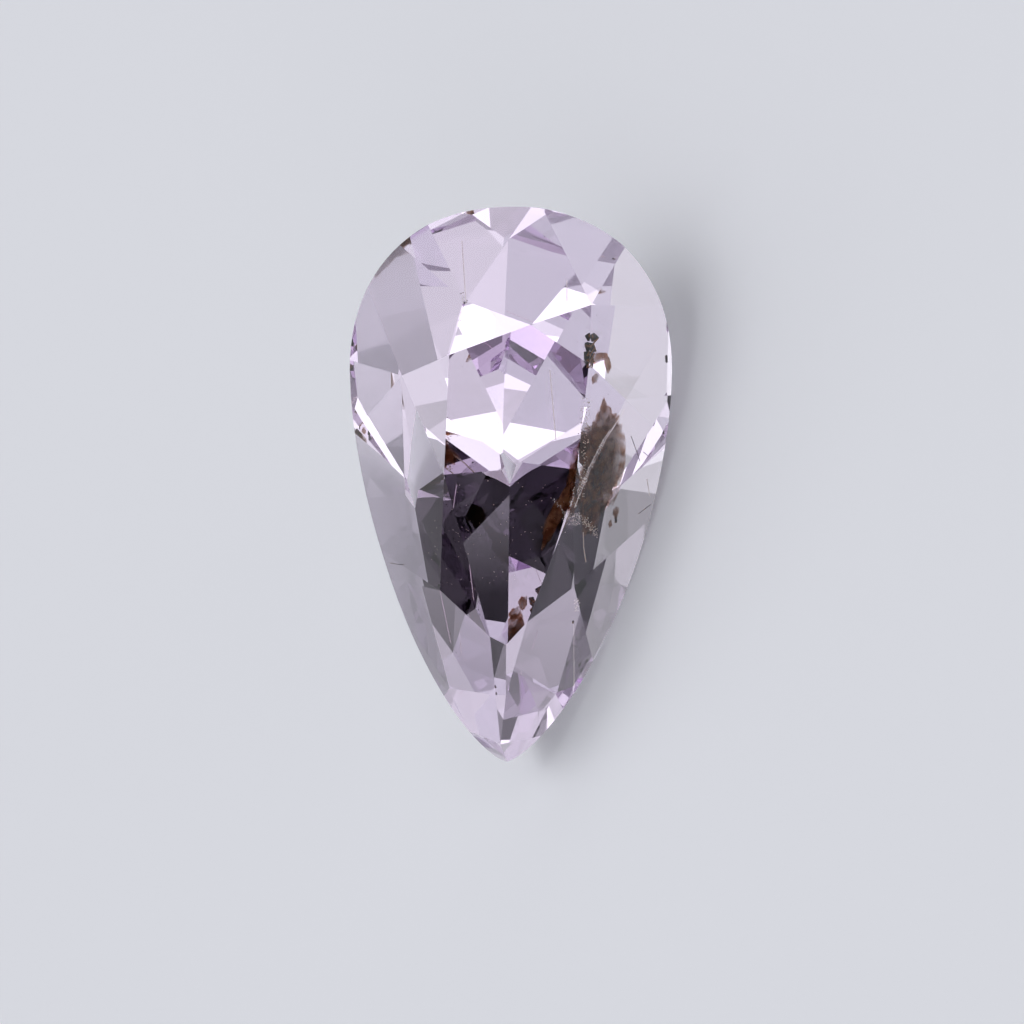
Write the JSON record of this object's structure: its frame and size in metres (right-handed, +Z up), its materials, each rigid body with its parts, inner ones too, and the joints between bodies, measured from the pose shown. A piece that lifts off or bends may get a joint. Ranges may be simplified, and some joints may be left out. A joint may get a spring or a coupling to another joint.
{
  "type": "pear-cut kunzite gem",
  "caption": "Pale lilac faceted kunzite in a pear shape, a loose gemstone lying face up on a flank facet of its deep pavilion.",
  "frame": {"origin": "centre of the bounding box's bottom, on the surface that the stone lies on", "axes": "+Z up; +X from the stone's point towards its round head; -Y is the side that the table leans towards"},
  "size_m": [0.0128, 0.0066, 0.0066],
  "materials": {
    "kunzite": "clear pale lilac crystal with polished facets and a finely ground girdle"
  },
  "bodies": {
    "root": {"kunzite_gem": "kunzite"}
  },
  "joints": []
}
